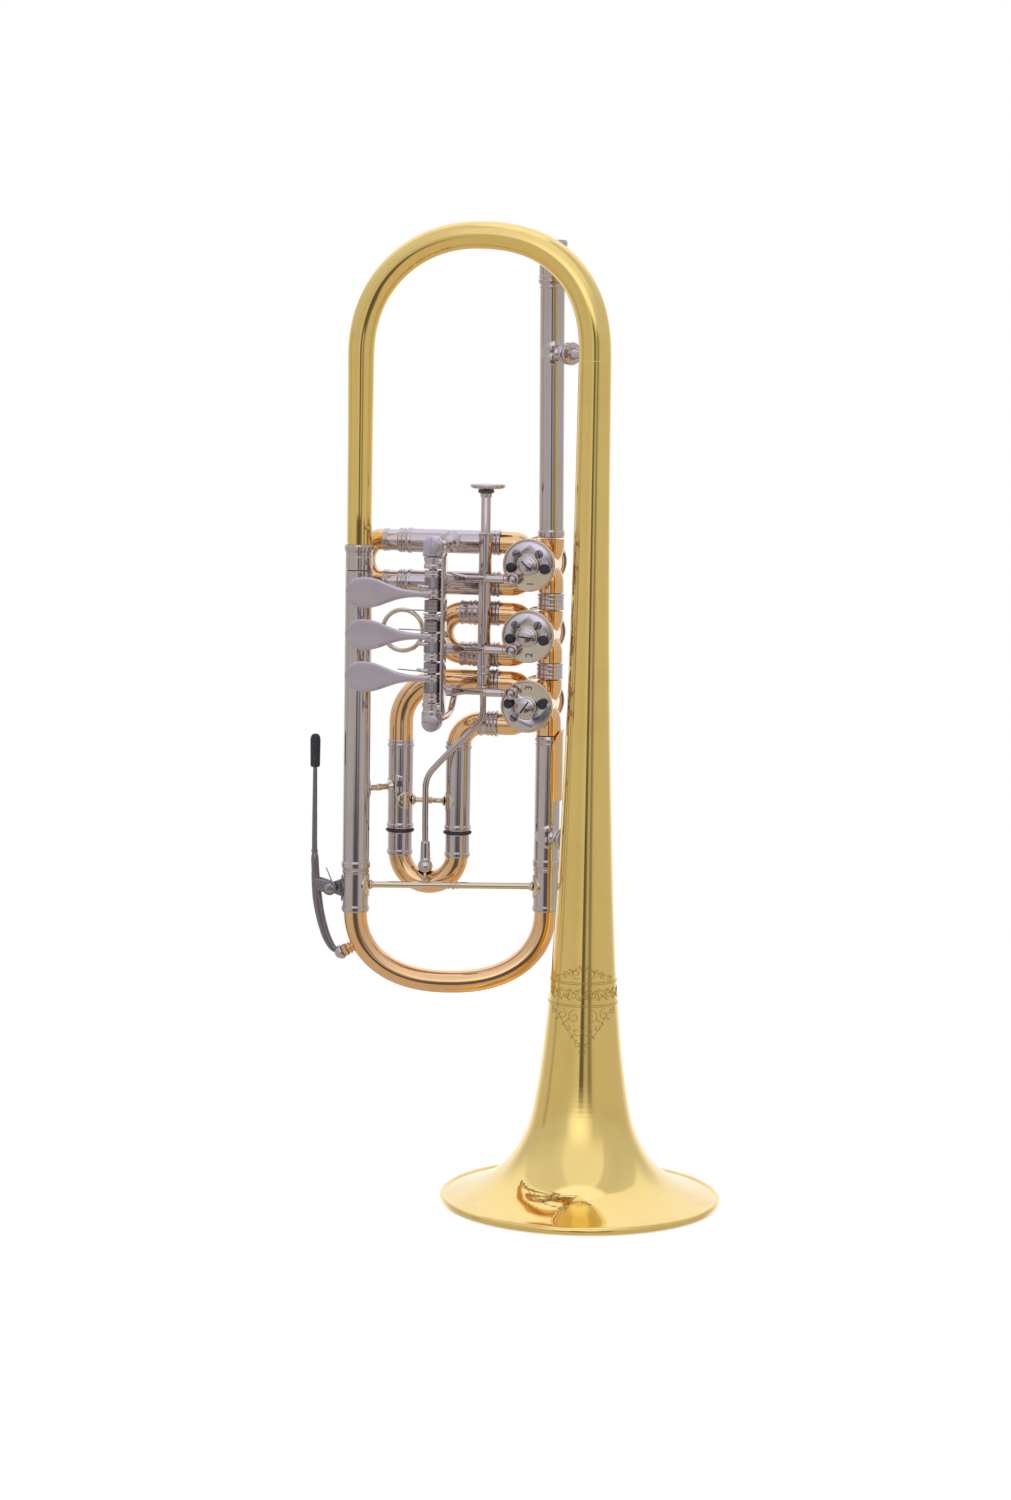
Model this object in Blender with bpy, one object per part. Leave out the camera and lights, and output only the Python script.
"""Rotary-valve flugelhorn / trumpet standing on its bell, built as its separate pieces.

Lengths are in millimetres. In the working frame X = 0 is the bell axis, Y = 0 is the plane
through the valve ports and Z = 0 is the bell rim. Left is -X, the front is -Y, up is +Z.
FRAME_SHIFT centres the finished object's bounding box on X = Y = 0.
"""

import math

import bpy
import numpy as np

X_AXIS, Y_AXIS, Z_AXIS = (1, 0, 0), (0, 1, 0), (0, 0, 1)
MM = 0.001                     # metres in one millimetre
TUBE_SIDES, ROD_SIDES, BELL_SIDES = 10, 8, 24

# ------------------------------------------------------------------ driving dimensions
BELL_Y = -24.0
BELL_CENTRE = (0, BELL_Y, 0)
FRAME_SHIFT = (33.325, -BELL_Y, 0.0)

# leg axes as (x, y)
LEFT_LEG = (-109.4, -20.0)
RIGHT_LEG = (-22.9, 0.0)
LEFT_BASE = np.array([*LEFT_LEG, 0.0])
RIGHT_BASE = np.array([*RIGHT_LEG, 0.0])
LEG_SPAN = RIGHT_BASE - LEFT_BASE
LEG_DIRECTION = LEG_SPAN / np.linalg.norm(LEG_SPAN)      # from left leg to right leg
LEG_NORMAL = np.cross(LEG_DIRECTION, Z_AXIS)             # square to the plane of the legs
LEFT_LEG_R, LEFT_LEG_BORE, LEFT_INNER_R = 6.25, 5.75, 5.68
RIGHT_LEG_R, RIGHT_LEG_BORE, RIGHT_INNER_R = 5.95, 5.50, 5.43

LEADPIPE_BOTTOM = np.array([-23.3, 0.0, 309.0])
LEADPIPE_TOP = np.array([-24.9, 0.0, 440.9])
LEADPIPE_R = 5.8

# valves, numbered 1 to 3 from the top
VALVE_X = -30.2
VALVE_Z = (293.2, 260.5, 228.2)
UPPER_KNUCKLE_Z = (302.0, 269.3, 237.4)
LOWER_KNUCKLE_Z = (282.8, 250.0, 217.8)
KNUCKLE_END_X = -46.3          # free end of the left-hand knuckles
KNUCKLE_R, KNUCKLE_BORE = 5.3, 4.6
SLIDE_START_X = KNUCKLE_END_X - 0.35

# finger action: the crank turns the rotor's pin through a quarter turn
PIN_CIRCLE_R = 9.0
PIN_Y = -22.0
PIN_ANGLES = (225.0, 225.0, 135.0)       # degrees from +X towards +Z
HALF_THROW = math.radians(28.0 / 2)      # half the finger lever's travel
CRANK = PIN_CIRCLE_R * math.sqrt(2) / (2 * math.sin(HALF_THROW))
SPINDLE_X = -68.2
SPINDLE_Y = PIN_Y - CRANK * math.cos(HALF_THROW)
SPINDLE_R = 1.85

# valve slides: outer radius and bore of outer and inner tubes
OUTER_R, OUTER_BORE, INNER_R, INNER_BORE = 5.50, 5.05, 4.98, 4.55
OUTER3_R, OUTER3_BORE, INNER3_R, INNER3_BORE = 5.90, 5.45, 5.38, 4.90
SLIDE2_END_X = -59.4
SLIDE3_LEFT_X, SLIDE3_RIGHT_X = -93.1, -65.5


# ------------------------------------------------------------------ geometry kit
# A mesh is a pair (points, faces). Shapes are closed solids.
def unit(vector):
    vector = np.asarray(vector, float)
    return vector / np.linalg.norm(vector)


def reference_for(axis):
    """A world axis that is well away from the given one."""
    return Y_AXIS if abs(unit(axis)[1]) < 0.9 else X_AXIS


def orient(points, faces):
    """The faces, turned round if they enclose a negative volume."""
    points = np.asarray(points, float)
    volume = 0.0
    for face in faces:
        for i in range(1, len(face) - 1):
            normal = np.cross(points[face[i]], points[face[i + 1]])
            volume += np.dot(points[face[0]], normal)
    if volume < 0:
        faces = [tuple(reversed(face)) for face in faces]
    return points, faces


def ring_mesh(rings, closed):
    """Skins a row of rings: joined end to start if closed, else capped at both ends."""
    count, sides = len(rings), len(rings[0])
    faces = []
    for i in range(count if closed else count - 1):
        near, far = i * sides, ((i + 1) % count) * sides
        faces += [(near + k, near + (k + 1) % sides, far + (k + 1) % sides, far + k)
                  for k in range(sides)]
    if not closed:
        faces += [tuple(range(sides))[::-1], tuple(range((count - 1) * sides, count * sides))]
    return orient(np.concatenate(rings), faces)


def ring(centre, radius, across, up, sides):
    angles = 2 * np.pi * np.arange(sides) / sides
    return centre + radius * (np.cos(angles)[:, None] * across + np.sin(angles)[:, None] * up)


def path_rings(path, radii, sides, ref):
    """Rings square to a path, carried along it without twist."""
    path = np.asarray(path, float)
    radii = np.broadcast_to(np.asarray(radii, float), (len(path),))
    steps = np.diff(path, axis=0)
    steps /= np.linalg.norm(steps, axis=1)[:, None]
    tangents = np.vstack([steps[:1], steps[:-1] + steps[1:], steps[-1:]])
    tangents /= np.linalg.norm(tangents, axis=1)[:, None]
    across = np.asarray(ref, float)
    rings = []
    for point, tangent, radius in zip(path, tangents, radii):
        across = unit(across - np.dot(across, tangent) * tangent)
        rings.append(ring(point, radius, across, np.cross(tangent, across), sides))
    return rings


def rod(path, radii, sides=ROD_SIDES, ref=Y_AXIS):
    return ring_mesh(path_rings(path, radii, sides, ref), False)


def pipe(path, outer, inner, sides=TUBE_SIDES, ref=Y_AXIS):
    outside = path_rings(path, outer, sides, ref)
    inside = path_rings(path, inner, sides, ref)
    return ring_mesh(outside + inside[::-1], True)


def lathe(profile, centre, axis=Z_AXIS, sides=TUBE_SIDES, ref=None, solid=False):
    """Turns (distance along axis, radius) points; solid caps the ends, else the loop closes."""
    axis = unit(axis)
    ref = np.asarray(reference_for(axis) if ref is None else ref, float)
    across = unit(ref - np.dot(ref, axis) * axis)
    up = np.cross(axis, across)
    centre = np.asarray(centre, float)
    rings = [ring(centre + along * axis, radius, across, up, sides) for along, radius in profile]
    return ring_mesh(rings, not solid)


def cylinder(start, end, radius, sides=ROD_SIDES, ref=None):
    start, end = np.asarray(start, float), np.asarray(end, float)
    return rod([start, end], radius, sides, reference_for(end - start) if ref is None else ref)


def along_y(x, z, ends, radius, sides):
    return cylinder((x, ends[0], z), (x, ends[1], z), radius, sides)


def along_z(x, y, ends, radius, sides):
    return cylinder((x, y, ends[0]), (x, y, ends[1]), radius, sides)


def ball(centre, radius, sides, axis=Z_AXIS):
    """A coarse ball with its two poles cut flat."""
    latitudes = np.radians([-72, -38, 0, 38, 72])
    profile = [(radius * math.sin(t), radius * math.cos(t)) for t in latitudes]
    return lathe(profile, centre, axis, sides, solid=True)


def collar(start, end, outer, inner, centre, axis=Z_AXIS):
    """A plain band round a tube."""
    return lathe([(start, inner), (start, outer), (end, outer), (end, inner)], centre, axis)


def box(low, high):
    points = [(x, y, z) for x in (low[0], high[0]) for y in (low[1], high[1])
              for z in (low[2], high[2])]
    return orient(points, [(0, 1, 3, 2), (4, 6, 7, 5), (0, 4, 5, 1),
                           (2, 3, 7, 6), (0, 2, 6, 4), (1, 5, 7, 3)])


def slab(outline, origin, thickness, across=X_AXIS, up=Z_AXIS):
    """A flat outline thickened from thickness[0] to thickness[1] along across x up.

    With the default axes the outline is (x, z) and the thickness runs towards the front.
    """
    origin, across, up = (np.asarray(vector, float) for vector in (origin, across, up))
    normal = np.cross(across, up)
    base = np.array([origin + a * across + b * up for a, b in outline])
    return ring_mesh([base + thickness[0] * normal, base + thickness[1] * normal], False)


def crescent(outer, inner, start, end, count):
    """Outline of part of a flat ring between two angles in degrees."""
    angles = np.radians(np.linspace(start, end, count))
    return ([(outer * math.cos(t), outer * math.sin(t)) for t in angles]
            + [(inner * math.cos(t), inner * math.sin(t)) for t in angles[::-1]])


def arc(centre, radius, start, end, steps, across=X_AXIS, rise=None, fullness=(1.0, 1.0)):
    """Points on an upright arc from start to end degrees, `rise` being its radius along Z.

    Fullness below 1 squares up the half on the +across side, then the -across side.
    """
    centre, across, up = (np.asarray(vector, float) for vector in (centre, across, Z_AXIS))
    angles = np.radians(np.linspace(start, end, steps + 1))
    rise = radius if rise is None else rise
    power = np.where(np.cos(angles) > 0, fullness[0], fullness[1])

    def squared_up(values):
        return np.sign(values) * np.maximum(np.abs(values), 1e-12) ** power

    return (centre + radius * squared_up(np.cos(angles))[:, None] * across
            + rise * squared_up(np.sin(angles))[:, None] * up)


# ------------------------------------------------------------------ materials
# name: (base colour, roughness, metallic)
MATERIALS = {
    "yellow_brass": ((0.80, 0.58, 0.20), 0.16, 1.0),
    "gold_brass": ((0.83, 0.47, 0.20), 0.16, 1.0),
    "nickel_silver": ((0.62, 0.58, 0.56), 0.18, 1.0),
    "satin_nickel": ((0.56, 0.53, 0.56), 0.34, 1.0),
    "dark_steel": ((0.17, 0.16, 0.18), 0.38, 1.0),
    "black_rubber": ((0.02, 0.02, 0.022), 0.6, 0.0),
    "cork": ((0.46, 0.30, 0.17), 0.85, 0.0),
}


def material(name):
    found = bpy.data.materials.get(name)
    if found:
        return found
    colour, roughness, metallic = MATERIALS[name]
    made = bpy.data.materials.new(name)
    made.use_nodes = True
    shader = made.node_tree.nodes["Principled BSDF"]
    shader.inputs["Base Color"].default_value = (*colour, 1)
    shader.inputs["Roughness"].default_value = roughness
    shader.inputs["Metallic"].default_value = metallic
    made.diffuse_color = (*colour, 1)
    return made


# ------------------------------------------------------------------ objects
SHARP_ANGLE = math.radians(40)


def raw_object(name, mesh, origin):
    points, faces = mesh
    origin = np.asarray(origin, float)
    data = bpy.data.meshes.new(name)
    data.from_pydata([tuple(point) for point in (np.asarray(points) - origin) * MM], [], faces)
    obj = bpy.data.objects.new(name, data)
    bpy.context.scene.collection.objects.link(obj)
    obj.location = [(a + b) * MM for a, b in zip(origin, FRAME_SHIFT)]
    return obj


def largest_island(mesh):
    """Drops the loose slivers a Boolean can leave, keeping the body with the largest volume."""
    count = len(mesh.vertices)
    parent = list(range(count))

    def find(i):
        while parent[i] != i:
            parent[i] = parent[parent[i]]
            i = parent[i]
        return i

    for edge in mesh.edges:
        first, second = find(edge.vertices[0]), find(edge.vertices[1])
        if first != second:
            parent[first] = second
    island = [find(i) for i in range(count)]
    volumes = {}
    for face in mesh.polygons:
        corners = [np.array(mesh.vertices[i].co) for i in face.vertices]
        key = island[face.vertices[0]]
        for i in range(1, len(corners) - 1):
            part = float(np.dot(corners[0], np.cross(corners[i], corners[i + 1])))
            volumes[key] = volumes.get(key, 0.0) + part
    if len(volumes) < 2:
        return mesh
    keep = max(volumes, key=volumes.get)
    index, points = {}, []
    for i in range(count):
        if island[i] == keep:
            index[i] = len(points)
            points.append(tuple(mesh.vertices[i].co))
    faces = [tuple(index[i] for i in face.vertices) for face in mesh.polygons
             if island[face.vertices[0]] == keep]
    kept = bpy.data.meshes.new(mesh.name)
    kept.from_pydata(points, [], faces)
    return kept


def piece(name, material_name, shapes, origin=None, cuts=()):
    """One named solid: the first shape with the others joined to it and the cuts taken out.

    Without an origin, the middle of the first shape's bounding box is used.
    """
    if origin is None:
        points = shapes[0][0]
        origin = (points.min(0) + points.max(0)) / 2
    obj = raw_object(name, shapes[0], origin)
    helpers = []
    for operation, tools in (("UNION", shapes[1:]), ("DIFFERENCE", cuts)):
        for k, shape in enumerate(tools):
            helper = raw_object(f"{name}_{operation.lower()}_{k}", shape, origin)
            helper.hide_render = True
            helper.display_type = "WIRE"
            helpers.append(helper)
            step = obj.modifiers.new(f"{operation.lower()}_{k}", "BOOLEAN")
            step.operation = operation
            step.solver = "EXACT"
            step.object = helper
    if helpers:
        bpy.context.view_layer.update()
        graph = bpy.context.evaluated_depsgraph_get()
        baked = bpy.data.meshes.new_from_object(obj.evaluated_get(graph))
        obj.modifiers.clear()
        obj.data = largest_island(baked)
        for helper in helpers:
            bpy.data.objects.remove(helper, do_unlink=True)
    obj.data.materials.clear()         # a baked mesh can carry empty slots
    obj.data.materials.append(material(material_name))
    obj.data.polygons.foreach_set("use_smooth", [True] * len(obj.data.polygons))
    obj.data.set_sharp_from_angle(angle=SHARP_ANGLE)


def clear_scene():
    for obj in list(bpy.data.objects):
        bpy.data.objects.remove(obj, do_unlink=True)


# ------------------------------------------------------------------ bell and top bow
BELL_PROFILE = [               # (height, outer radius), from the neck down
    (386.0, 7.45), (315.0, 8.12), (242.0, 9.5), (168.6, 12.0), (112.8, 14.7),
    (75.3, 17.8), (55.0, 20.4), (37.2, 23.9), (27.3, 28.0), (20.0, 32.5),
    (13.6, 38.4), (9.4, 44.8), (6.2, 52.2), (3.6, 62.7),
]
BELL_WALL = 0.7
RIM_BEAD = [                   # (height, radius)
    (0.0, 62.8), (0.0, 64.5), (0.7, 65.0), (2.3, 65.0),
    (3.1, 64.4), (3.1, 63.2), (2.3, 62.6), (0.6, 62.6),
]
NECK_R = BELL_PROFILE[0][1]
TOP_BOW_START_Z, TOP_BOW_Z = 386.3, 387.5      # end of the pipe, and where its arc begins
TOP_BOW_WALL = 0.6
TOP_BOW_FULLNESS = (0.85, 0.96)                # bell side, leg side
TOP_BOW_R = (NECK_R, 6.25, 6.15)               # start, crown and end of the arc
TOP_BOW_TAIL = [(350.0, 5.75), (292.0, 5.45)]  # (height, radius) down the left leg


def build_bell():
    outer = np.array(BELL_PROFILE)
    slope = np.gradient(outer, axis=0)
    slope /= np.linalg.norm(slope, axis=1)[:, None]
    inner = outer + BELL_WALL * np.stack([-slope[:, 1], slope[:, 0]], 1)
    piece("bell", "yellow_brass",
          [lathe([*outer, *inner[::-1]], BELL_CENTRE, Z_AXIS, BELL_SIDES, X_AXIS)], BELL_CENTRE)
    piece("bell_rim_bead", "yellow_brass",
          [lathe(RIM_BEAD, BELL_CENTRE, Z_AXIS, BELL_SIDES, X_AXIS)], BELL_CENTRE)


def build_bell_bow():
    bell_end = np.array([0.0, BELL_Y, TOP_BOW_Z])
    half = (np.array([*LEFT_LEG, TOP_BOW_Z]) - bell_end) / 2
    centre = bell_end + half
    radius = np.linalg.norm(half)
    to_bell = -half / radius
    path = [(0, BELL_Y, TOP_BOW_START_Z),
            *arc(centre, radius, 0, 180, 12, to_bell, fullness=TOP_BOW_FULLNESS),
            *[(*LEFT_LEG, z) for z, _ in TOP_BOW_TAIL]]
    arc_radii = np.interp(np.linspace(0, 1, 13), [0, 0.5, 1], TOP_BOW_R)
    radii = np.array([NECK_R, *arc_radii, *[tail for _, tail in TOP_BOW_TAIL]])
    normal = np.cross(to_bell, Z_AXIS)
    piece("bell_bow", "yellow_brass",
          [pipe(path, radii, radii - TOP_BOW_WALL, TUBE_SIDES, normal)], centre)


# ------------------------------------------------------------------ legs and leadpipe
FERRULE = [                    # (height, radius)
    (289.0, LEFT_LEG_R), (297.0, LEFT_LEG_R), (297.3, 6.7), (300.2, 6.7),
    (300.4, 6.3), (300.4, 5.95), (289.0, 5.95),
]
LEADPIPE_COLLAR = [            # (distance above the pipe's lower end, radius)
    (-4.0, 5.9), (-3.7, 6.3), (-0.2, 6.3), (0.2, 5.75), (0.2, 5.2), (-4.0, 5.2),
]
LEADPIPE_BORE = 5.1
RECEIVER = [                   # (distance above the leadpipe's upper end, radius)
    (-20.0, 6.12), (-19.5, 6.6), (-17.5, 6.6), (-17.2, 6.25), (-3.4, 6.25),
    (-3.0, 6.95), (-0.4, 6.95), (0.0, 6.6), (0.0, 5.95), (-20.0, 5.95),
]
GUARD_R, GUARD_INNER_R = 7.5, 6.3
GUARD_ANGLES = (-75, 35)       # degrees from +X towards +Y
GUARD_Z = (183.4, 211.0)


def leg_tube(name, base, radius, bore, top, bottom, origin_z):
    """A leg with a raised band at its lower end."""
    profile = [(top, radius), (bottom + 3.6, radius),
               (bottom + 3.3, radius + 0.5), (bottom + 0.2, radius + 0.5),
               (bottom, radius + 0.15), (bottom, bore), (top, bore)]
    piece(name, "nickel_silver", [lathe(profile, base, ref=LEG_NORMAL)],
          base + (0, 0, origin_z))


def build_legs():
    piece("left_leg_ferrule", "nickel_silver",
          [lathe(FERRULE, LEFT_BASE, ref=LEG_NORMAL)], (*LEFT_LEG, 289))
    leg_tube("left_leg_tube", LEFT_BASE, LEFT_LEG_R, LEFT_LEG_BORE, 288.6, 150.0, 288.6)
    leg_tube("right_leg_tube", RIGHT_BASE, RIGHT_LEG_R, RIGHT_LEG_BORE, 213.1, 151.4, 213)


def build_leadpipe():
    axis = LEADPIPE_TOP - LEADPIPE_BOTTOM
    length = np.linalg.norm(axis)
    body = [(0.0, LEADPIPE_R), (length, LEADPIPE_R), (length, LEADPIPE_BORE),
            (0.0, LEADPIPE_BORE)]
    piece("leadpipe", "nickel_silver",
          [lathe(body, LEADPIPE_BOTTOM, axis), lathe(LEADPIPE_COLLAR, LEADPIPE_BOTTOM, axis)],
          LEADPIPE_BOTTOM)
    piece("mouthpiece_receiver", "nickel_silver", [lathe(RECEIVER, LEADPIPE_TOP, axis)],
          LEADPIPE_TOP)


def build_hand_guard():
    """A curved plate round the right-hand side of the right leg."""
    outline = crescent(GUARD_R, GUARD_INNER_R, *GUARD_ANGLES, 8)
    piece("hand_guard", "gold_brass", [slab(outline, RIGHT_BASE, GUARD_Z, X_AXIS, Y_AXIS)])


# ------------------------------------------------------------------ valves
CASING_R = 11.0
CASING_BORE = 9.06 / math.cos(math.pi / 20)    # the bore's flats clear the rotor
CASING_Y = (-15.4, 13.5)
KNUCKLE_BEND_X = -36.8
PORT_X = RIGHT_LEG[0]                          # upright ports on the right of each casing
PORT_R, PORT_BORE = 5.9, 4.9
PORT_TOP_Z = (304.6, 271.4, 239.3)
PORT_BOTTOM_Z = (279.7, 247.3, 213.5)
PORT_TURN = 5.0                                # where a port turns in, from the valve centre

ROTOR_R, ROTOR_Y = 9.0, (-13.2, 12.6)
ROTOR_CUT_R, ROTOR_CUT_OFFSET = 5.0, 7.3
STEM_R, STEM_END_Y = 2.68, -17.5
STEM_HOLE = 2.73 / math.cos(math.pi / 12)      # the hole's flats clear the stem

PLATE_R, PLATE_Y = 12.2, (-17.4, -15.7)
REAR_CAP = [(13.8, 11.7), (15.9, 11.7), (16.6, 11.1), (16.6, 9.3), (15.5, 8.6)]  # (y, radius)
ARM_HUB = [                                    # (y, radius)
    (-17.7, 5.0), (-20.6, 5.0), (-21.1, 4.5), (-21.1, 3.3), (-23.2, 3.3), (-23.7, 2.8),
]
ARM_OUTLINE = [                                # (along the arm, across it)
    (0, -2.6), (8.2, -1.8), (10.6, -1.0), (10.6, 1.0), (8.2, 1.8), (0, 2.6),
]
CONNECTORS = [                                 # (name, bottom, top)
    ("valve_connector_12", 271.8, 279.3), ("valve_connector_23", 239.7, 246.9),
]


def valve_casing(k):
    z, x = VALVE_Z[k], VALVE_X
    solids = [along_y(x, z, CASING_Y, CASING_R, 20)]
    bores = [along_y(x, z, (CASING_Y[0] - 1, CASING_Y[1] + 1), CASING_BORE, 20)]
    for side, height in ((1, UPPER_KNUCKLE_Z[k]), (-1, LOWER_KNUCKLE_Z[k])):
        bend = (KNUCKLE_BEND_X, 0, height)
        solids += [cylinder((KNUCKLE_END_X, 0, height), bend, KNUCKLE_R, TUBE_SIDES),
                   ball(bend, KNUCKLE_R, 8, Y_AXIS)]
        bores += [cylinder((KNUCKLE_END_X - 1, 0, height), (-37.2, 0, height),
                           KNUCKLE_BORE, TUBE_SIDES),
                  cylinder((-38.5, 0, height), (x, 0, z + 2.0 * side), 4.2, 8)]
        if k == 1:             # the second slide's outer tubes belong to the casing
            solids.append(cylinder((SLIDE2_END_X, 0, height),
                                   (KNUCKLE_END_X + 0.5, 0, height), OUTER_R, TUBE_SIDES))
            bores.append(cylinder((SLIDE2_END_X - 1, 0, height),
                                  (KNUCKLE_END_X - 0.6, 0, height), OUTER_BORE, TUBE_SIDES))
    ports = ((1, PORT_TOP_Z[k]), (-1, PORT_BOTTOM_Z[k]))
    for side, end in ports:
        solids.append(along_z(PORT_X, 0, (end, z + side * PORT_TURN), PORT_R, TUBE_SIDES))
        bores.append(along_z(PORT_X, 0, (end + side, z + side * PORT_TURN),
                             PORT_BORE, TUBE_SIDES))
    for side, _ in ports:
        solids.append(ball((PORT_X, 0, z + side * PORT_TURN), PORT_R, 8, Y_AXIS))
        bores.append(cylinder((PORT_X, 0, z + side * 7.0), (x, 0, z + side), 4.4, 8))
    piece(f"valve_casing_{k + 1}", "gold_brass", solids, (x, 0, z), bores)


def rotor(k):
    z = VALVE_Z[k]
    piece(f"rotor_{k + 1}", "yellow_brass",
          [along_y(VALVE_X, z, ROTOR_Y, ROTOR_R, 20),
           along_y(VALVE_X, z, (ROTOR_Y[0] + 1, STEM_END_Y), STEM_R, 12)],
          (VALVE_X, 0, z),
          [along_z(VALVE_X + offset, 0, (z - 12, z + 12), ROTOR_CUT_R, 10)
           for offset in (ROTOR_CUT_OFFSET, -ROTOR_CUT_OFFSET)])


def stop_plate(k):
    """A disc in front of the casing with a raised crescent and two small round studs on it."""
    z = VALVE_Z[k]
    side = 1 if k < 2 else -1          # the crescent is above centre, on valve 3 below
    raised = [(a, b * side) for a, b in crescent(11.3, 5.9, -14, 194, 13)]
    shapes = [along_y(VALVE_X, z, PLATE_Y, PLATE_R, 24),
              slab(raised, (VALVE_X, 0, z), (17.0, 19.0))]
    shapes += [along_y(VALVE_X + offset, z + 5.2 * side, (-19.7, -18.5), 1.9, 8)
               for offset in (-5.4, 5.1)]
    piece(f"stop_plate_{k + 1}", "satin_nickel", shapes, (VALVE_X, 0, z),
          [along_y(VALVE_X, z, (-25, -10), STEM_HOLE, 12)])


def rear_cap(k):
    centre = (VALVE_X, 0, VALVE_Z[k])
    piece(f"rear_cap_{k + 1}", "nickel_silver",
          [lathe(REAR_CAP, centre, Y_AXIS, 20, solid=True)], centre)


def pin_place(k):
    """X and Z of the stop-arm pin."""
    angle = math.radians(PIN_ANGLES[k])
    return (VALVE_X + PIN_CIRCLE_R * math.cos(angle),
            VALVE_Z[k] + PIN_CIRCLE_R * math.sin(angle))


def stop_arm(k):
    centre = (VALVE_X, 0, VALVE_Z[k])
    angle = math.radians(PIN_ANGLES[k])
    outward = (math.cos(angle), 0, math.sin(angle))
    sideways = (-math.sin(angle), 0, math.cos(angle))
    piece(f"stop_arm_{k + 1}", "nickel_silver",
          [lathe(ARM_HUB, (VALVE_X, 0, VALVE_Z[k]), Y_AXIS, 14, solid=True),
           slab(ARM_OUTLINE, centre, (19.3, 17.7), outward, sideways),
           along_y(*pin_place(k), (-18.5, -24.3), 1.5, 10)], centre)


def link(k):
    """Push link: an eye round the stop-arm pin, a rod, and an eye round the crank pin."""
    x, z = pin_place(k)
    eye_x = SPINDLE_X - CRANK * math.sin(HALF_THROW)
    eye_y = SPINDLE_Y + CRANK * (1 + math.cos(HALF_THROW)) / 2
    path = [(x - offset, PIN_Y, z) for offset in (1.8, 3.0, 11.5, 12.5)]
    path.append((eye_x + 2.0, eye_y, z))
    piece(f"link_{k + 1}", "nickel_silver",
          [along_y(x, z, (-23.4, -20.6), 2.9, 12),
           rod(path, [1.3, 1.9, 1.9, 1.3, 1.3]),
           along_z(eye_x, eye_y, (z - 1.0, z + 1.0), 2.7, 12)],
          (x, PIN_Y, z),
          [along_y(x, z, (-26, -18), 1.57, 10),
           along_z(eye_x, eye_y, (z - 3, z + 3), 1.5, 10)])


def valve_connector(name, bottom, top):
    profile = [(bottom, 6.35), (bottom + 1.6, 6.35), (bottom + 1.9, 6.05), (top - 1.9, 6.05),
               (top - 1.6, 6.35), (top, 6.35), (top, 5.0), (bottom, 5.0)]
    piece(name, "nickel_silver", [lathe(profile, (PORT_X, 0, 0))],
          (PORT_X, 0, (bottom + top) / 2))


def build_valves():
    for k in range(3):
        valve_casing(k)
        rotor(k)
        stop_plate(k)
        rear_cap(k)
        stop_arm(k)
        link(k)
    for row in CONNECTORS:
        valve_connector(*row)


# ------------------------------------------------------------------ finger levers
# one entry per lever, from the top; pairs are (bottom, top) heights
PADDLE_HUB_Z = ((279.2, 282.8), (260.2, 263.4), (241.6, 244.8))
CRANK_HUB_Z = ((289.2, 291.9), (250.7, 253.8), (232.0, 235.7))
CRANK_END_Z = ((289.3, 291.5), (256.3, 258.3), (230.0, 232.2))
PADDLE_Z = (281.1, 262.0, 242.9)
WEB_Z = (281.1, 262.0, 243.2)          # middle of the web from paddle to hub
WEB_HALF_HEIGHT = 1.4
SPRING_Z = ((272.8, 278.8), (263.8, 269.4), (245.2, 250.3))

HUB_R, SLEEVE_R, HUB_BORE = 3.9, 3.45, 1.95
PADDLE_FORWARD = 3.4                   # paddle plate in front of the spindle axis
PADDLE_HALF_THICKNESS = 0.8
PADDLE_HALF_OUTLINE = [                # (x, half height)
    (-71.0, 1.4), (-78.0, 1.6), (-84.0, 2.7), (-89.5, 4.9), (-94.0, 6.5),
    (-98.5, 7.1), (-103.0, 6.2), (-106.4, 3.8), (-107.8, 0.9),
]
CRANK_PIN_PARTS = [(-0.5, 7.0, 1.0), (6.5, 7.6, 1.8)]   # (from, to, radius) off the crank face

CARRIAGE_BAR_X = (SPINDLE_X + 4.35, SPINDLE_X + 5.9)
CARRIAGE_COLLAR_Z = ((292.6, 297.6), (226.4, 231.6), (269.8, 272.4))
CARRIAGE_WEB_Z = ((292.8, 297.4), (226.8, 231.2), (270.0, 272.2))
CARRIAGE_COLLAR_R, CARRIAGE_WEB_DEPTH = 4.3, 3.0        # the webs go this far each way in y
CARRIAGE_BOSSES = ((SPINDLE_X, 303.0), (SPINDLE_X + 0.3, 222.8))    # (x, z)
CARRIAGE_BLOCK_Z = ((297.0, 302.0), (223.0, 227.5))
UPPER_STAY = [(SPINDLE_X, SPINDLE_Y + 2.0, 302.2), (SPINDLE_X - 0.6, -26.0, 302.2),
              (SPINDLE_X - 1.4, -7.0, 302.0)]
UPPER_FOOT = [(-5.95, 4.4), (-6.9, 4.4), (-8.4, 2.4)]   # (y, radius)
LOWER_STAY = [(SPINDLE_X + 0.3, SPINDLE_Y + 2.0, 222.8), (SPINDLE_X + 0.5, -20.0, 222.6),
              (SPINDLE_X + 0.6, -12.0, 223.2), (SPINDLE_X + 0.7, -7.5, 225.4),
              (SPINDLE_X + 0.8, -4.0, 229.2)]
LOWER_FOOT = [(228.0, 2.2), (229.0, 3.0), (230.3, 3.0)]  # (z, radius)

FINGER_RING_CENTRE = np.array([-86.1, -29.5, 262.6])
FINGER_RING_R, FINGER_RING_WIRE_R = 9.35, 1.05


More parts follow.
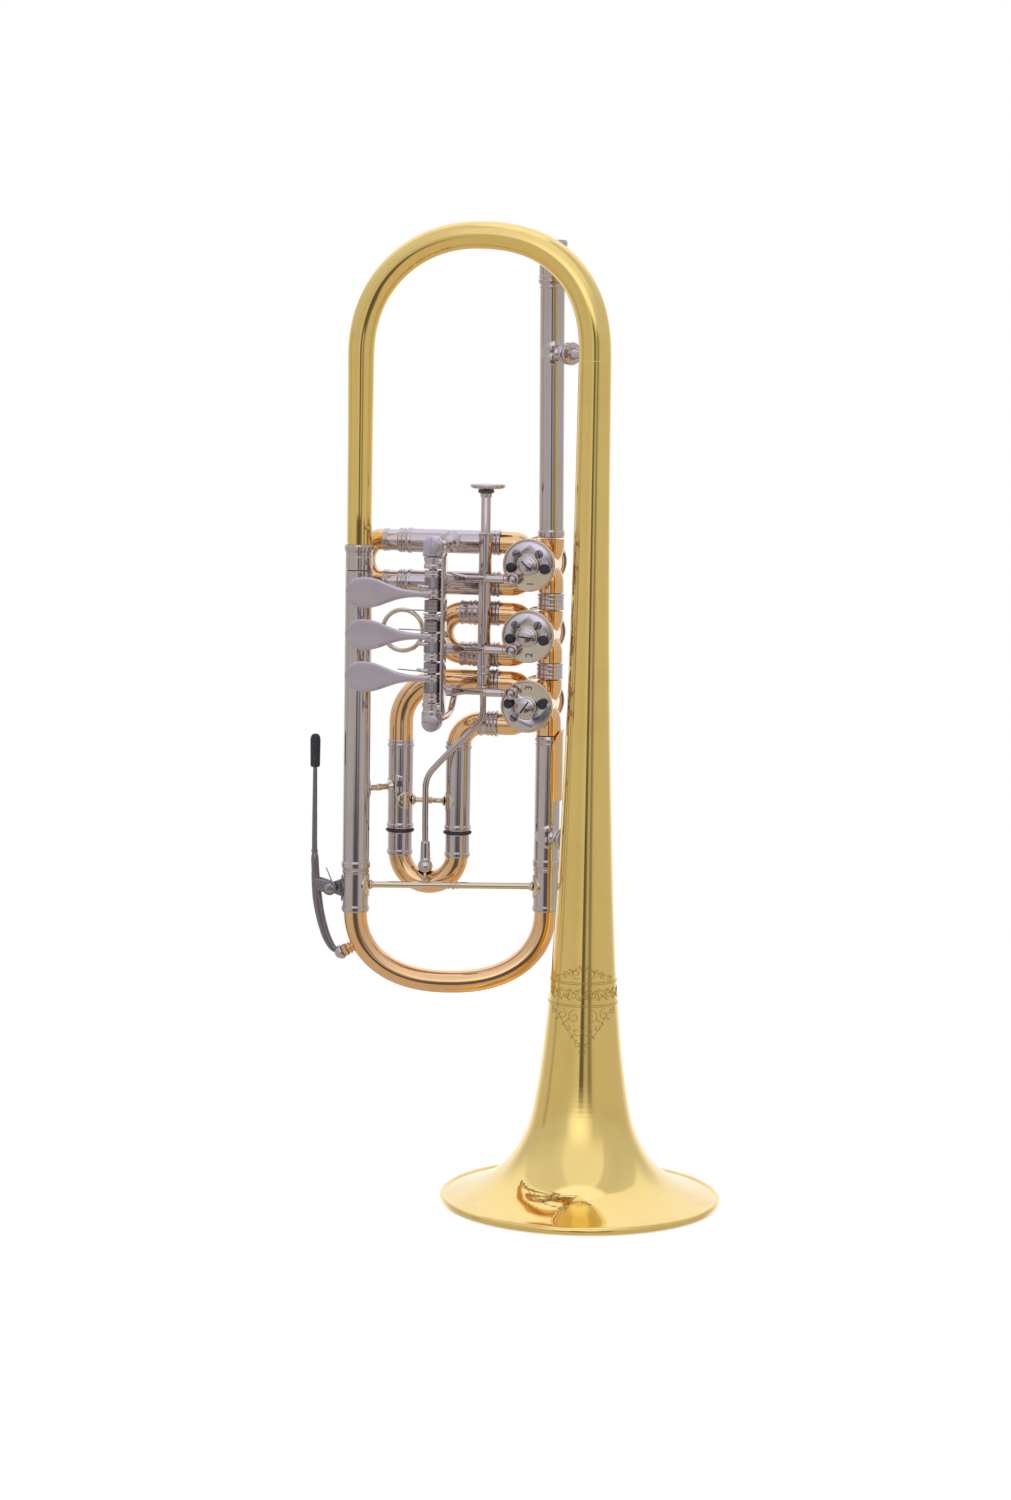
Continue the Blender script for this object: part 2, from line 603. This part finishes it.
def lever(k):
    paddle_hub, crank_hub = PADDLE_HUB_Z[k], CRANK_HUB_Z[k]
    low, high = min(paddle_hub[0], crank_hub[0]), max(paddle_hub[1], crank_hub[1])
    shapes = [along_z(SPINDLE_X, SPINDLE_Y, (low, high), SLEEVE_R, 14),
              along_z(SPINDLE_X, SPINDLE_Y, paddle_hub, HUB_R, 14),
              along_z(SPINDLE_X, SPINDLE_Y, crank_hub, HUB_R, 14)]

    z = PADDLE_Z[k]
    paddle_y = SPINDLE_Y - PADDLE_FORWARD
    outline = [(x, z + half) for x, half in PADDLE_HALF_OUTLINE]
    outline += [(x, z - half) for x, half in PADDLE_HALF_OUTLINE[::-1]]
    shapes.append(slab(outline, (0, paddle_y, 0),
                       (-PADDLE_HALF_THICKNESS, PADDLE_HALF_THICKNESS)))
    shapes.append(box((SPINDLE_X - 4.2, paddle_y - PADDLE_HALF_THICKNESS,
                       WEB_Z[k] - WEB_HALF_HEIGHT),
                      (SPINDLE_X + 0.5, SPINDLE_Y + 0.5, WEB_Z[k] + WEB_HALF_HEIGHT)))

    # crank arm towards the back, and its pin
    backward = np.array([-math.sin(HALF_THROW), math.cos(HALF_THROW), 0.0])
    middle = (crank_hub[0] + crank_hub[1]) / 2
    root_low, root_high = middle - 1.1, middle + 1.1
    end_low, end_high = CRANK_END_Z[k]
    crank_side = [(1.0, root_low), (6.0, root_low), (18.5, end_low), (CRANK + 1.9, end_low),
                  (CRANK + 1.9, end_high), (18.5, end_high), (6.0, root_high),
                  (1.0, root_high)]
    shapes.append(slab(crank_side, (SPINDLE_X, SPINDLE_Y, 0.0), (-1.6, 1.6), backward))
    pin_x, pin_y, _ = np.array([SPINDLE_X, SPINDLE_Y, 0.0]) + CRANK * backward
    # the pin hangs down, on lever 3 it stands up
    side, face = (-1, end_low) if k < 2 else (1, end_high)
    for near, far, radius in CRANK_PIN_PARTS:
        ends = sorted((face + side * near, face + side * far))
        shapes.append(along_z(pin_x, pin_y, ends, radius, 8))
    piece(f"lever_{k + 1}", "satin_nickel", shapes, (SPINDLE_X, SPINDLE_Y, z),
          [along_z(SPINDLE_X, SPINDLE_Y, (low - 2, high + 2), HUB_BORE, 12)])


def lever_spring(k):
    ends = [(SPINDLE_X, SPINDLE_Y, z) for z in SPRING_Z[k]]
    piece(f"lever_spring_{k + 1}", "dark_steel", [pipe(ends, 3.6, 2.3, 12)], ends[0])


def lever_carriage():
    """The upright bar that holds the spindle, with its two stays towards the back."""
    x, y = SPINDLE_X, SPINDLE_Y
    depth = CARRIAGE_WEB_DEPTH
    bar_left, bar_right = CARRIAGE_BAR_X
    shapes = [box((bar_left, y - 3.2, 228.0), (bar_right, y + 3.6, 298.5))]
    shapes += [along_z(x, y, ends, CARRIAGE_COLLAR_R, 14) for ends in CARRIAGE_COLLAR_Z]
    shapes += [box((x, y - depth, low), (bar_left + 0.5, y + depth, high))
               for low, high in CARRIAGE_WEB_Z]
    shapes += [along_y(boss_x, boss_z, (y - 4.0, y + 3.5), CARRIAGE_COLLAR_R, 14)
               for boss_x, boss_z in CARRIAGE_BOSSES]
    shapes += [box((x - 3.0, y - depth, low), (x + 3.0, y + depth, high))
               for low, high in CARRIAGE_BLOCK_Z]
    shapes += [rod(UPPER_STAY, 1.8, 8, Z_AXIS),
               lathe(UPPER_FOOT, (x - 1.4, 0, 302.0), Y_AXIS, solid=True),
               rod(LOWER_STAY, 1.7, 8, Z_AXIS),
               lathe(LOWER_FOOT, (x + 0.8, -2.4, 0), Z_AXIS, ref=X_AXIS, solid=True)]
    piece("lever_carriage", "nickel_silver", shapes, (x, y, 262),
          [along_z(x, y, (226.0, 299.0), SPINDLE_R + 0.15, 12)])


def finger_ring():
    centre = FINGER_RING_CENTRE
    rings = []
    for angle in 2 * np.pi * np.arange(16) / 16:
        outward = np.array([math.cos(angle), 0, math.sin(angle)])
        rings.append(ring(centre + FINGER_RING_R * outward, FINGER_RING_WIRE_R,
                          outward, np.array(Y_AXIS), 6))
    stay = [centre + (9.2, 0.0, 0), centre + (13.0, -0.6, 0), centre + (17.5, -6.0, 0),
            (SPINDLE_X + 5.1, SPINDLE_Y + 7.6, 262.6),
            (SPINDLE_X + 5.1, SPINDLE_Y + 3.95, 262.6)]
    piece("finger_ring", "nickel_silver",
          [ring_mesh(rings, True), rod(stay, FINGER_RING_WIRE_R, 6, Z_AXIS)], centre)


def build_levers():
    piece("lever_spindle", "nickel_silver",
          [along_z(SPINDLE_X, SPINDLE_Y, (227.0, 298.4), SPINDLE_R, 12)],
          (SPINDLE_X, SPINDLE_Y, 262))
    for k in range(3):
        lever(k)
        lever_spring(k)
    lever_carriage()
    finger_ring()


# ------------------------------------------------------------------ valve slides
SLIDE1_END_X = -91.2
# name, valve index, x where the bend starts, depth of the bend, x of the inner ends,
# x of the band's right and left edges
CROOKS = [
    ("slide1_crook", 0, -102.6, 7.4, -52.0, -91.6, -94.9),
    ("slide2_crook", 1, -64.0, 9.65, -48.2, SLIDE2_END_X - 0.4, -64.0),
]
SLIDE3_TOP_Z, SLIDE3_END_Z, SLIDE3_BEND_Z = 208.4, 166.9, 155.6
SLIDE3_INNER_TOP_Z = 203.0
# name, knuckle height, leg x, bend radius, bend steps
SLIDE3_OUTERS = [
    ("slide3_outer_left", UPPER_KNUCKLE_Z[2], SLIDE3_LEFT_X, 20.7, 6),
    ("slide3_outer_right", LOWER_KNUCKLE_Z[2], SLIDE3_RIGHT_X, 11.5, 5),
]
SLIDE3_BANDS = ((SLIDE3_END_Z + 0.3, SLIDE3_END_Z + 3.0),
                (SLIDE3_TOP_Z - 3.0, SLIDE3_TOP_Z - 1.5))
SLIDE3_STOP = [                # (height, radius)
    (154.4, INNER3_R - 0.2), (154.4, 5.85), (165.2, 5.85), (165.4, 6.3),
    (166.5, 6.3), (166.5, INNER3_R - 0.2),
]


def slide1_outer(name, z):
    length = SLIDE_START_X - SLIDE1_END_X
    profile = [(0.3, 5.85), (9.5, 5.85), (9.75, OUTER_R), (length - 2.45, OUTER_R),
               (length - 2.2, 5.95), (length - 0.3, 5.95), (length, OUTER_BORE),
               (0.0, OUTER_BORE)]
    start = (SLIDE_START_X, 0, z)
    piece(name, "nickel_silver", [lathe(profile, start, (-1, 0, 0))], start)


def short_crook(name, k, bend_x, depth, inner_x, band_right, band_left):
    """First or second slide: two inner legs joined by an oval bend on the left."""
    high, low = UPPER_KNUCKLE_Z[k], LOWER_KNUCKLE_Z[k]
    centre = (bend_x, 0, (high + low) / 2)
    path = [(inner_x, 0, high), *arc(centre, depth, 90, 270, 7, rise=(high - low) / 2),
            (inner_x, 0, low)]
    shapes = [pipe(path, INNER_R, INNER_BORE)]
    shapes += [collar(band_left, band_right, 5.75, INNER_R - 0.2, (0, 0, z), X_AXIS)
               for z in (high, low)]
    piece(name, "gold_brass", shapes, centre)


def slide3_outer(name, z, x, radius, steps):
    """From a knuckle to the left, then round a bend and down."""
    bend = arc((x + radius, 0, z - radius), radius, 90, 180, steps)
    path = [(SLIDE_START_X, 0, z), (x + radius, 0, z), *bend[1:],
            (x, 0, SLIDE3_TOP_Z - 6), (x, 0, SLIDE3_END_Z)]
    radii = np.array([KNUCKLE_R, KNUCKLE_R, *np.linspace(KNUCKLE_R, OUTER3_R, steps),
                      OUTER3_R, OUTER3_R])
    shapes = [pipe(path, radii, radii - (OUTER3_R - OUTER3_BORE)),
              collar(SLIDE_START_X, SLIDE_START_X - 8.0, 5.85, KNUCKLE_R - 0.2,
                     (0, 0, z), X_AXIS)]
    shapes += [collar(low, high, 6.4, OUTER3_R - 0.2, (x, 0, 0)) for low, high in SLIDE3_BANDS]
    piece(name, "nickel_silver", shapes, (x, 0, SLIDE3_TOP_Z))


def slide3_crook():
    middle_x = (SLIDE3_LEFT_X + SLIDE3_RIGHT_X) / 2
    centre = (middle_x, 0, SLIDE3_BEND_Z)
    path = [(SLIDE3_LEFT_X, 0, SLIDE3_INNER_TOP_Z),
            *arc(centre, (SLIDE3_RIGHT_X - SLIDE3_LEFT_X) / 2, 180, 360, 8),
            (SLIDE3_RIGHT_X, 0, SLIDE3_INNER_TOP_Z)]
    shapes = [pipe(path, INNER3_R, INNER3_BORE)]
    shapes += [lathe(SLIDE3_STOP, (x, 0, 0)) for x in (SLIDE3_LEFT_X, SLIDE3_RIGHT_X)]
    # a small foot and upright peg on the front of the bend
    shapes += [lathe([(-4.9, 3.0), (-7.4, 2.2)], (middle_x, 0, 143.2), Y_AXIS, 8, solid=True),
               rod([(middle_x, -6.2, 142.6), (middle_x, -6.4, 145.2)], 1.6)]
    piece("slide3_crook", "gold_brass", shapes, centre)


def build_slides():
    slide1_outer("slide1_outer_upper", UPPER_KNUCKLE_Z[0])
    slide1_outer("slide1_outer_lower", LOWER_KNUCKLE_Z[0])
    for row in CROOKS:
        short_crook(*row)
    for row in SLIDE3_OUTERS:
        slide3_outer(*row)
    slide3_crook()


# ------------------------------------------------------------------ third-slide trigger
TRIGGER_X, TRIGGER_Y = -52.2, -9.5     # guide axis
TRIGGER_GUIDE = [              # (height, radius)
    (234.4, 2.75), (242.4, 2.75), (242.7, 2.6), (244.4, 2.6), (244.6, 3.1),
    (306.0, 3.1), (306.2, 3.35), (307.2, 3.35), (307.2, 2.2), (234.4, 2.2),
]
TRIGGER_PATH = [               # x, y, z, from the button down to the slide
    (TRIGGER_X, TRIGGER_Y, 327.0), (TRIGGER_X, TRIGGER_Y, 292.0),
    (TRIGGER_X, TRIGGER_Y, 290.0), (TRIGGER_X, TRIGGER_Y, 221.0),
    (TRIGGER_X - 1.2, TRIGGER_Y, 219.0), (-57.4, TRIGGER_Y, 214.9),
    (-68.6, -9.5, 204.0), (-77.2, -9.0, 195.2), (-79.1, -8.7, 191.5),
    (-79.3, -8.4, 187.0), (-79.3, -6.6, 162.0), (-79.3, -6.2, 153.6),
]
TRIGGER_RADII = [2.1] * 2 + [1.45] * 10
TRIGGER_BUTTON = [             # (height, radius)
    (327.3, 3.4), (327.5, 7.8), (328.3, 8.3), (329.2, 8.2), (329.9, 7.4), (330.1, 3.0),
]


def build_trigger():
    x, y = TRIGGER_X, TRIGGER_Y
    piece("trigger_guide", "nickel_silver", [lathe(TRIGGER_GUIDE, (x, y, 0), sides=12)],
          (x, y, 270))
    piece("trigger_rod", "nickel_silver",
          [rod(TRIGGER_PATH, TRIGGER_RADII, 10),
           cylinder((-79.3, -6.6, 161.6), (-79.3, -6.2, 153.0), 2.25, 10),
           ball((-79.3, -6.1, 150.2), 3.5, 12)], (x, y, 310))
    piece("trigger_felt", "black_rubber",
          [pipe([(x, y, 323.4), (x, y, 326.9)], 3.6, 2.4, 12)], (x, y, 325))
    piece("trigger_button", "nickel_silver",
          [lathe(TRIGGER_BUTTON, (x + 0.8, y, 0), sides=20, solid=True)], (x, y, 328))


# ------------------------------------------------------------------ main tuning slide
TUNING_BOW_Z, TUNING_BOW_DEPTH = 131.0, 34.4
TUNING_BOW_R, TUNING_WALL = 5.35, 0.5
TUNING_FULLNESS = (0.88, 0.88)
TUNING_LEG_Z = (190.0, 136.0)          # top and bottom of the straight inner legs
LEFT_SLEEVE_BORE = 5.8
LEFT_SLEEVE = [                # (height, radius)
    (129.6, 6.5), (132.0, 6.5), (132.2, 6.15), (147.8, 6.15), (148.1, 6.5),
    (149.6, 6.5), (149.6, LEFT_SLEEVE_BORE), (129.6, LEFT_SLEEVE_BORE),
]
RIGHT_SLEEVE = [               # (height, radius)
    (130.6, 6.3), (133.0, 6.3), (133.2, 5.95), (149.2, 5.95), (149.5, 6.2),
    (150.9, 6.2), (150.9, 5.6), (130.6, 5.6),
]
SLEEVE_ORIGIN_Z = 141
KEY_BRACKET = [                # (x, z), on the left of the left sleeve
    (-114.6, 136.6), (-119.6, 137.6), (-122.6, 139.2),
    (-122.6, 141.6), (-119.6, 143.0), (-114.6, 144.0),
]
TUNING_BRACE_Z = 142.3

# water key
KEY_X, KEY_Y, KEY_Z = KEY_PIVOT = (-121.2, LEFT_LEG[1], 140.3)
NIPPLE = np.array([-110.6, LEFT_LEG[1] + 0.6, 112.9])
NIPPLE_DIRECTION = unit((-0.87, -0.05, -0.49))
NIPPLE_TIP = NIPPLE + 2.9 * NIPPLE_DIRECTION             # where the cork starts
KEY_KNEE = (KEY_X - 4.6, KEY_Y, KEY_Z + 4.2)
KEY_UPPER_ARM = [KEY_KNEE, (-127.6, KEY_Y, 150.0), (-129.0, KEY_Y, 158.0),
                 (-129.3, KEY_Y, 196.6)]
KEY_UPPER_RADII = [1.7, 1.6, 1.35, 1.2]
KEY_LOWER_ARM = [KEY_KNEE, (-127.0, KEY_Y, 139.0), (-126.4, KEY_Y, 131.5),
                 (-124.6, KEY_Y, 123.6), (-121.8, KEY_Y, 116.0),
                 (-118.0, KEY_Y + 0.2, 110.6), (-116.2, KEY_Y + 0.3, 109.6)]
KEY_LOWER_RADII = [1.7, 1.8, 1.8, 1.7, 1.6, 1.5, 1.4]
KEY_CHEEK = [                  # (x, z) from the pivot
    (1.9, -1.9), (-1.5, -2.6), (-5.2, 1.0), (-6.0, 5.0), (-3.6, 5.4), (1.9, 2.0),
]
KEY_CHEEK_Y = ((-2.7, -1.7), (1.7, 2.7))                 # (front, back) from the pivot
KEY_TIP_X = -129.3
KEY_TIP = [(197.0, 1.7), (197.6, 2.2), (209.5, 2.35), (211.3, 1.6), (212.0, 0.7)]  # (z, radius)


def tuning_bow():
    """Both inner legs, the bottom bow and the nipple under the water key."""
    top, bottom = TUNING_LEG_Z
    centre = (LEFT_BASE + RIGHT_BASE) / 2 + (0, 0, TUNING_BOW_Z)
    bend = arc(centre, np.linalg.norm(LEG_SPAN) / 2, 180, 360, 12, LEG_DIRECTION,
               TUNING_BOW_DEPTH, TUNING_FULLNESS)
    path = [LEFT_BASE + (0, 0, top), LEFT_BASE + (0, 0, bottom), *bend,
            RIGHT_BASE + (0, 0, bottom), RIGHT_BASE + (0, 0, top)]
    radii = np.array([LEFT_INNER_R] * 2 + [TUNING_BOW_R] * len(bend) + [RIGHT_INNER_R] * 2)
    nipple = cylinder(NIPPLE - 1.5 * NIPPLE_DIRECTION, NIPPLE + 2.6 * NIPPLE_DIRECTION, 2.3, 10)
    nipple_bore = cylinder(NIPPLE - 5 * NIPPLE_DIRECTION, NIPPLE + 4 * NIPPLE_DIRECTION, 1.1)
    piece("tuning_bow", "gold_brass",
          [pipe(path, radii, radii - TUNING_WALL, TUBE_SIDES, LEG_NORMAL), nipple],
          centre, [nipple_bore])


def tuning_sleeves():
    piece("tuning_sleeve_left", "nickel_silver",
          [lathe(LEFT_SLEEVE, LEFT_BASE, ref=LEG_NORMAL),
           slab(KEY_BRACKET, (0, KEY_Y, 0), (-1.3, 1.3))],
          LEFT_BASE + (0, 0, SLEEVE_ORIGIN_Z),
          [along_y(KEY_X, KEY_Z, (KEY_Y - 6, KEY_Y + 6), 1.2, 8),
           cylinder(LEFT_BASE + (0, 0, 125), LEFT_BASE + (0, 0, 155), LEFT_SLEEVE_BORE,
                    TUBE_SIDES, LEG_NORMAL)])
    piece("tuning_sleeve_right", "nickel_silver",
          [lathe(RIGHT_SLEEVE, RIGHT_BASE, ref=LEG_NORMAL)],
          RIGHT_BASE + (0, 0, SLEEVE_ORIGIN_Z))


def tuning_brace():
    start = LEFT_BASE + LEG_DIRECTION * 6.5 + (0, 0, TUNING_BRACE_Z)
    end = RIGHT_BASE - LEG_DIRECTION * 6.35 + (0, 0, TUNING_BRACE_Z)
    length = np.linalg.norm(end - start)
    middle = length / 2
    profile = [(0.0, 3.4), (0.9, 3.2), (3.0, 1.7), (4.0, 1.55), (middle - 2.0, 1.55),
               (middle - 1.2, 2.1), (middle + 1.2, 2.1), (middle + 2.0, 1.55),
               (length - 4.0, 1.55), (length - 3.0, 1.7), (length - 0.9, 3.2), (length, 3.4)]
    piece("tuning_brace", "nickel_silver",
          [lathe(profile, start, LEG_DIRECTION, 8, Z_AXIS, solid=True)], (start + end) / 2)


def water_key():
    direction = NIPPLE_DIRECTION
    cup = NIPPLE_TIP + 2.3 * direction
    piece("water_key_cork", "cork",
          [cylinder(NIPPLE_TIP, NIPPLE_TIP + 2.0 * direction, 2.9, 12)], NIPPLE_TIP)
    shapes = [rod(KEY_UPPER_ARM, KEY_UPPER_RADII),
              rod(KEY_LOWER_ARM, KEY_LOWER_RADII),
              ball(KEY_KNEE, 1.9, 8, Y_AXIS),
              cylinder(cup, cup + 1.6 * direction, 3.5, 12),
              cylinder(cup + 1.0 * direction, cup + 3.4 * direction, 2.0, 10),
              along_y(KEY_X, KEY_Z, (KEY_Y - 2.6, KEY_Y + 2.6), 1.05, 8)]
    # two cheeks hold the pivot pin, one each side of the bracket
    shapes += [slab(KEY_CHEEK, KEY_PIVOT, (-back, -front)) for front, back in KEY_CHEEK_Y]
    shapes.append(box((KEY_X - 6.0, KEY_Y - 2.2, KEY_Z + 2.6),
                      (KEY_X - 4.0, KEY_Y + 2.2, KEY_Z + 4.8)))
    piece("water_key", "dark_steel", shapes, KEY_PIVOT)
    piece("water_key_tip", "black_rubber",
          [lathe(KEY_TIP, (KEY_TIP_X, KEY_Y, 0), sides=12, solid=True)],
          (KEY_TIP_X, KEY_Y, 204))


def build_tuning_slide():
    tuning_bow()
    tuning_sleeves()
    tuning_brace()
    water_key()


# ------------------------------------------------------------------ braces
BRACE_GAP = 0.35               # between a brace's end and the tube it meets
UPPER_BRACE_Z = 389.6
LEADPIPE_SLOPE = (LEADPIPE_TOP[0] - LEADPIPE_BOTTOM[0]) / (LEADPIPE_TOP[2] - LEADPIPE_BOTTOM[2])
UPPER_BRACE_X = LEADPIPE_BOTTOM[0] + LEADPIPE_SLOPE * (UPPER_BRACE_Z - LEADPIPE_BOTTOM[2])
# name, height, sides, (x, y) and radius of the first tube, the same of the second, then
# (distance, radius) points: negative distances are measured back from the far end
BRACES = [
    ("bell_brace_upper", UPPER_BRACE_Z, 12,
     (UPPER_BRACE_X, 0.0), LEADPIPE_R, (-0.1, BELL_Y), 7.55,
     [(0.0, 3.6), (1.0, 3.4), (3.0, 2.0), (6.0, 2.0), (6.6, 4.6), (9.0, 4.8), (9.6, 3.2),
      (12.0, 3.0), (12.6, 5.2), (15.0, 5.2), (15.6, 2.6), (-1.2, 3.2), (-0.01, 4.0)]),
    ("bell_brace_lower", 166.3, 12,
     RIGHT_LEG, RIGHT_LEG_R, (0.0, BELL_Y), 12.25,
     [(0.0, 3.6), (0.9, 3.4), (2.4, 2.2), (4.4, 2.2), (4.9, 4.6), (6.9, 4.8), (7.4, 3.0),
      (8.9, 3.0), (9.4, 5.0), (11.2, 5.0), (11.8, 2.6), (-0.01, 3.8)]),
    ("slide_brace_leg", 187.0, 8,
     LEFT_LEG, LEFT_LEG_R, (SLIDE3_LEFT_X, 0.0), OUTER3_R,
     [(0.0, 2.8), (0.8, 2.6), (2.0, 1.5), (-2.4, 1.5), (-1.0, 3.2), (-0.01, 3.4)]),
    ("slide_brace_pair", 180.5, 8,
     (SLIDE3_LEFT_X, 0.0), OUTER3_R, (SLIDE3_RIGHT_X, 0.0), OUTER3_R,
     [(0.0, 2.9), (0.8, 2.7), (2.2, 1.2), (6.3, 1.2), (6.7, 1.9), (8.5, 1.9), (8.9, 1.2),
      (-2.2, 1.2), (-0.8, 2.7), (-0.01, 2.9)]),
]


def brace(name, z, sides, first, first_radius, second, second_radius, points):
    """A turned post across the gap between two upright tubes."""
    first, second = np.array([*first, z]), np.array([*second, z])
    direction = unit(second - first)
    start = first + (first_radius + BRACE_GAP) * direction
    end = second - (second_radius + BRACE_GAP) * direction
    length = np.linalg.norm(end - start)
    profile = [(along if along >= 0 else length + along, radius) for along, radius in points]
    piece(name, "nickel_silver",
          [lathe(profile, start, end - start, sides, Z_AXIS, solid=True)], (start + end) / 2)


def build_braces():
    for row in BRACES:
        brace(*row)


clear_scene()
build_bell()
build_bell_bow()
build_legs()
build_leadpipe()
build_hand_guard()
build_valves()
build_levers()
build_slides()
build_trigger()
build_tuning_slide()
build_braces()
